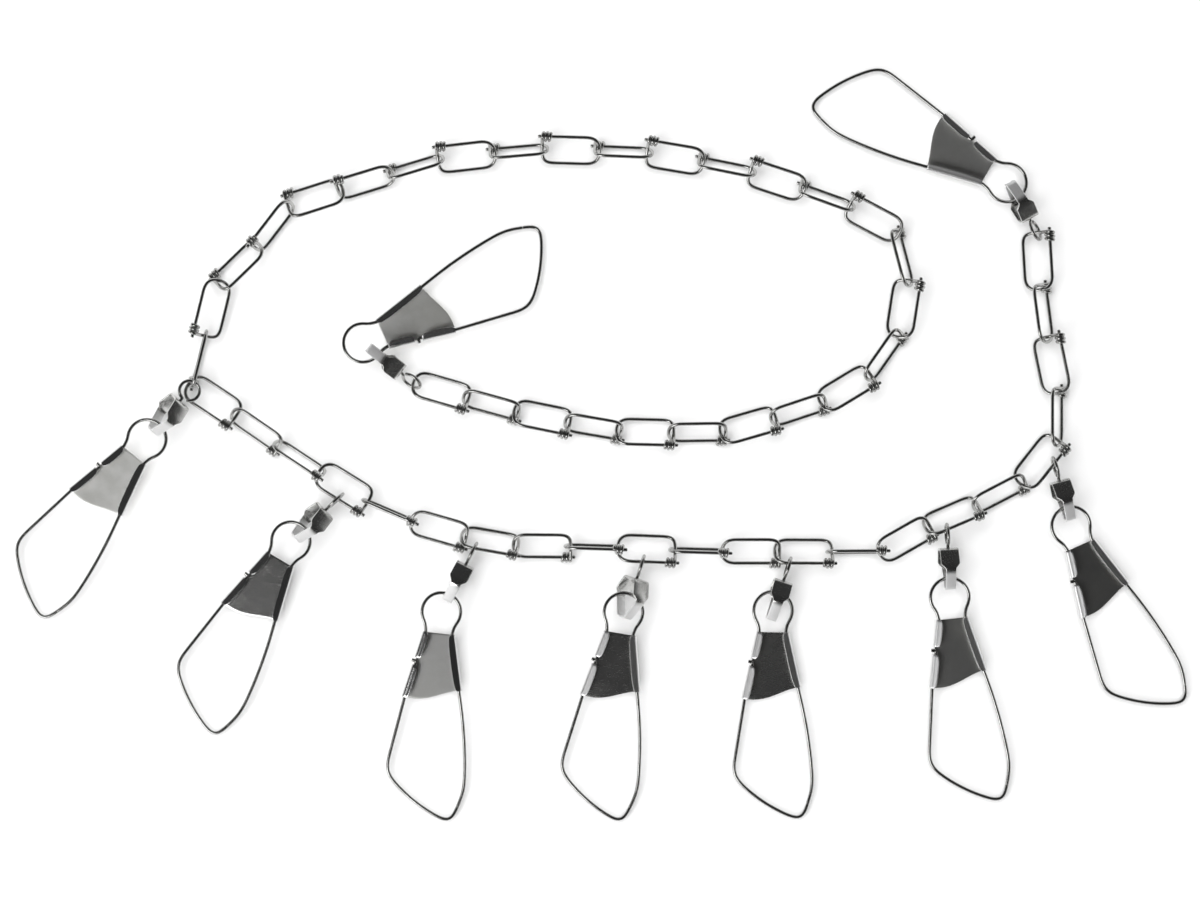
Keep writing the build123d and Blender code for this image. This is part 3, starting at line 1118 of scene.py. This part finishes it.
@dataclass(frozen=True)
class Hanger:
    """How one snap hangs, and its plate's finish.

    The link that carries it, the spot and the place on that link, the box's heading and lean, the snap's
    slack in the box, the snap's heading, and how satin the plate and its folds are, which also sets their
    painted light and shade.
    """

    link: int
    spot: Spot
    place: float
    box_heading: float
    box_lean: float
    slack: float
    snap_heading: float
    plate_satin_and_painted_light: float
    fold_satin_and_painted_light: float

    def plating(self) -> Plating:
        """The plate's finish: the more satin a surface, the paler its tone, up to a limit; the tone is
        painted light and shade for how each plate and its folds mirror the lamp.

        Returns:
            The finish.
        """
        # Painted light and shade: the flat's and the folds' tones follow each snap's satin, so that each
        # plate looks as lit or as dark as its tilt makes it
        flat, fold = (
            min(PLATE_TONE + PLATE_PAINTED_LIGHT_RISE * satin, PLATE_TONE_LIMIT)
            for satin in (self.plate_satin_and_painted_light, self.fold_satin_and_painted_light)
        )
        return Plating(
            kind=FinishKind.SHEET,
            bright=flat,
            dull=flat * PLATE_DULL,
            smooth=self.plate_satin_and_painted_light,
            scuffed=self.plate_satin_and_painted_light + PLATE_SCUFF,
            cloud_scale=60.0,
            scuff_scale=500.0,
            bump=0.08,
            rubbed_and_painted_light=self.fold_satin_and_painted_light,
            painted_light_tone=fold,
        )

    def hook(self, chain: Chain, link: Frame) -> tuple[np.ndarray, np.ndarray]:
        """The point on the link's wire that carries the ring, and the wire's direction there.

        Args:
            chain: the link's sizes.
            link: the link's frame.

        Returns:
            The point and the unit direction.
        """
        if self.spot is Spot.SIDE:
            return link.at(level_point(self.place, -chain.radius)), link.axes[0]
        reach = chain.bar_x if self.spot is Spot.END_BAR else -chain.radius
        return link.at(level_point(reach, self.place)), link.axes[1]

    def frames(self, chain: Chain, swivel: Swivel, snap: Snap, link: Frame) -> tuple[Frame, Frame, Frame]:
        """Where the eye, the box and the snap lie, from the link that carries them.

        Args:
            chain: the link's sizes.
            swivel: the swivel's sizes.
            snap: the snap's sizes.
            link: the link's frame.

        Returns:
            The frames of the eye, the box and the snap.
        """
        hook, wire_along = self.hook(chain, link)
        lean = radians(self.box_lean)
        box_height = swivel.height / 2 * sin(lean) + swivel.width / 2 * cos(lean)
        outward = level(self.box_heading)
        grip = (swivel.eye_wire + chain.wire) / 2 + swivel.hook_gap
        ring_inside = swivel.ring_radius * cos(pi / swivel.ring_flats)
        play = ring_inside - grip / sqrt(1 - wire_along.dot(outward) ** 2)
        most = play * swivel.ring_ride
        lift = max(-most, min(most, box_height - hook[2]))
        ring = hook + outward * sqrt(play**2 - lift**2) + UP * lift
        climb = asin((box_height - ring[2]) / swivel.ring_to_box)
        axis = outward * cos(climb) + UP * sin(climb)
        ring_normal = unit(wire_along - axis * wire_along.dot(axis))
        box_up = unit(UP - axis * axis[2])
        loop_up = box_up * sin(lean) + np.cross(box_up, axis) * cos(lean)
        box = ring + axis * swivel.ring_to_box
        snap_grip = snap.wire / 2 + swivel.gap
        station = swivel.length / 2 - swivel.strip - snap_grip - self.slack
        wall = swivel.tongue_wall if station > 0 else swivel.shank_wall
        slope = (swivel.height - wall) / swivel.length
        room = swivel.height / 2 - slope * abs(station) - swivel.width / 2 / tan(lean)
        drop = room - (swivel.strip + (snap_grip + swivel.seat_rise) / sin(lean)) * sqrt(1 + slope**2)
        seat = box + axis * station - loop_up * drop
        turn = radians(self.box_heading + 180 - self.snap_heading)
        dip = asin((seat[2] - snap.wire / 2) / (snap.far - snap.eye_inside * cos(turn)))
        along = level(self.snap_heading) * cos(dip) - UP * sin(dip)
        across = level(self.snap_heading + 90)
        eye = seat - (along * cos(turn) + across * sin(turn)) * snap.eye_inside
        return (
            Frame.facing(ring, axis, np.cross(axis, ring_normal)),
            Frame.facing(box, axis, loop_up),
            Frame.facing(eye, along, np.cross(along, across)),
        )


@dataclass(frozen=True)
class Lamp:
    """A square soft light: place and side in metres, power in watts, and whether the metal mirrors it."""

    name: str
    place: tuple[float, float, float]
    size: float
    power: float
    mirrored: bool = True

    def build(self) -> None:
        """Hangs the light, aimed at the middle of the table."""
        light = bpy.data.lights.new(self.name, "AREA")
        light.shape, light.size, light.energy = "SQUARE", self.size, self.power
        back = unit(np.array(self.place))
        side = unit(np.cross(UP, back))
        turn = np.eye(4)
        turn[:3, :3] = np.array([side, np.cross(back, side), back]).T
        turn[:3, 3] = self.place
        lamp = new_object(self.name, light)
        lamp.matrix_world = Matrix(turn.tolist())
        lamp.visible_glossy = self.mirrored


@dataclass
class Stage:
    """The table, the soft light and the camera straight above it.

    The room's tones are given by height, from the horizon at 0 to overhead at 1.
    """

    photo_size: tuple[int, int] = (1200, 900)
    photo_middle: tuple[float, float] = (599.0, 448.5)
    mm_per_pixel: float = 0.45
    lens: float = 85.0
    sensor: float = 36.0
    clip_end: float = 50.0
    table_reach: float = 6000.0
    table_white: float = 0.93
    room_tones: tuple[tuple[float, float], ...] = ((0.0, 1.0), (0.12, 0.92), (0.30, 0.06), (1.0, 0.03))

    def table(self) -> None:
        """A wide pale table under the object."""
        reach = self.table_reach
        corners = np.array([(-reach, -reach, 0), (reach, -reach, 0), (reach, reach, 0), (-reach, reach, 0)])
        made = new_object("table", new_mesh("table", Shape(corners, [(0, 1, 2, 3)]), MM, PLAIN_SHARP))
        paint = bpy.data.materials.new("pale_table")
        nodes = Nodes.of(paint)
        shader = nodes.add("ShaderNodeBsdfDiffuse", {"Color": grey(self.table_white)})
        nodes.add("ShaderNodeOutputMaterial", {"Surface": shader.outputs["BSDF"]})
        made.data.materials.append(paint)

    def world(self) -> None:
        """A room that is pale at the horizon and dim overhead, and white where the camera sees it."""
        world = bpy.data.worlds.new("room")
        nodes = Nodes.of(world)
        heading = nodes.add("ShaderNodeTexCoord").outputs["Generated"]
        height = nodes.add("ShaderNodeSeparateXYZ", {"Vector": heading}).outputs["Z"]
        ramp = nodes.add("ShaderNodeValToRGB", {"Fac": height})
        stops = ramp.color_ramp.elements
        horizon, *between, overhead = self.room_tones
        for stop, (place, tone) in zip(stops, [horizon, overhead]):
            stop.position, stop.color = place, grey(tone)
        for place, tone in between:
            stops.new(place).color = grey(tone)
        seen = nodes.add("ShaderNodeLightPath").outputs["Is Camera Ray"]
        tone = nodes.mix(seen, ramp.outputs["Color"], grey(1.0))
        shader = nodes.add("ShaderNodeBackground", {"Color": tone, "Strength": 1.0})
        nodes.add("ShaderNodeOutputWorld", {"Surface": shader.outputs["Background"]})
        bpy.context.scene.world = world

    def camera(self, shift: np.ndarray) -> None:
        """The camera straight above the point that the photo's middle shows.

        Its height is the view's width times lens over sensor. Rows of pixels count downwards.

        Args:
            shift: from the layout to the object's own frame, in millimetres.
        """
        made = bpy.data.cameras.new("camera")
        made.lens, made.sensor_width = self.lens, self.sensor
        made.dof.use_dof = False
        made.clip_end = self.clip_end
        middle = (np.array(self.photo_size) / 2 - self.photo_middle) * (1, -1)
        spot = (middle * self.mm_per_pixel + shift[:2]) * MM
        wide = self.photo_size[0] * self.mm_per_pixel * MM
        camera = new_object("camera", made)
        camera.location = (spot[0], spot[1], wide * self.lens / self.sensor)
        bpy.context.scene.camera = camera

    def build(self, shift: np.ndarray) -> None:
        """Sets the table, the light, the camera and the plain view.

        Args:
            shift: from the layout to the object's own frame, in millimetres.
        """
        self.table()
        self.world()
        for lamp in LAMPS:
            lamp.build()
        self.camera(shift)
        bpy.context.scene.view_settings.view_transform = "Standard"


# The last two columns are each plate's and its folds' satin, which also sets their painted light and shade
HANGERS = [
    Hanger(1, Spot.PLAIN_END, 0.0, 141.9, 90, 3.6, 24.8, 0.74, 0.25),
    Hanger(28, Spot.END_BAR, 3.0, -132.2, 58, 2.3, -129.5, 0.70, 0.18),
    Hanger(32, Spot.SIDE, 7.5, -137.0, 65, 4.0, -120.6, 0.20, 0.18),
    Hanger(35, Spot.SIDE, 0.5, -117.4, 90, 0.8, -96.8, 0.40, 0.14),
    Hanger(38, Spot.SIDE, 5.0, -108.0, 55, 8.6, -99.4, 0.20, 0.40),
    Hanger(41, Spot.SIDE, 0.2, -108.0, 90, 10.5, -91.0, 0.25, 0.40),
    Hanger(44, Spot.SIDE, 2.2, -87.0, 90, 2.7, -84.0, 0.36, 0.45),
    Hanger(46, Spot.SIDE, 10.0, -74.0, 90, 3.7, -65.4, 0.30, 0.40),
    Hanger(50, Spot.END_BAR, 0.0, 119.6, 90, 6.6, 149.7, 0.50, 0.35),
]

WIRE_FINISHES = [
    Plating(FinishKind.LINK, 0.46, 0.35, 0.12, 0.26),
    Plating(FinishKind.EYE, 0.44, 0.34, 0.12, 0.26),
    # The strip's marked tongue takes a near-white tone: a painted highlight
    Plating(FinishKind.STRIP, 0.64, 0.50, 0.16, 0.30, rubbed_and_painted_light=0.65, painted_light_tone=0.98),
    Plating(FinishKind.SNAP, 0.48, 0.38, 0.10, 0.24),
]

LAMPS = [
    Lamp("key", (-0.9, -0.81, 1.1), 1.0, 11.0),
    Lamp("ceiling", (-0.3, 0.3, 2.2), 2.4, 64.0, mirrored=False),
]


def main() -> None:
    """Builds the chain, the swivels, the snaps and the stage."""
    logging.basicConfig(level=logging.INFO, format="%(name)s: %(message)s")
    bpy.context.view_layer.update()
    chain, swivel, snap = Chain(), Swivel(), Snap()
    places = chain.places()
    joint = next(joint for joint in frame["joints"] if joint["name"] == FIRST_JOINT)
    hook, _ = HANGERS[0].hook(chain, places[HANGERS[0].link - 1])
    shift = np.array(joint["pos_m"]) / MM - hook
    shop = Workshop(shift)
    group = PlatingGroup().build()
    metals = {finish.kind: finish.material(group, finish.kind.value) for finish in WIRE_FINISHES}
    chain.build(shop, places, metals[FinishKind.LINK])
    eye, box = swivel.eye(), swivel.box()
    body_wire, gate_wire, plate = snap.body_wire(), snap.gate_wire(), snap.plate()
    for number, hanger in enumerate(HANGERS, 1):
        eye_at, box_at, snap_at = hanger.frames(chain, swivel, snap, places[hanger.link - 1])
        # Each snap's plate gets its own copy of the sheet material, with its own painted light and shade tone
        metals[FinishKind.SHEET] = hanger.plating().material(group, f"{FinishKind.SHEET.value}_{number}")
        for name, shape, place, body, node, kind in [
            ("eye", eye, eye_at, "eye", "swivel_eye", FinishKind.EYE),
            ("box", box, box_at, "box", "swivel_box", FinishKind.STRIP),
            ("body_wire", body_wire, snap_at, "snap", "snap_wire", FinishKind.SNAP),
            ("gate_wire", gate_wire, snap_at, "gate", "snap_gate", FinishKind.SNAP),
            ("plate", plate, snap_at, "snap", "clasp_plate", FinishKind.SHEET),
        ]:
            piece, on, stands_for = (f"{word}_{number}" for word in (name, body, node))
            shop.piece(piece, shape.placed(place), on, stands_for, kind, metals[kind])
    Stage().build(shift)
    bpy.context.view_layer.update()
    log.info("%d pieces made", shop.made)


if __name__ == "__main__":
    main()
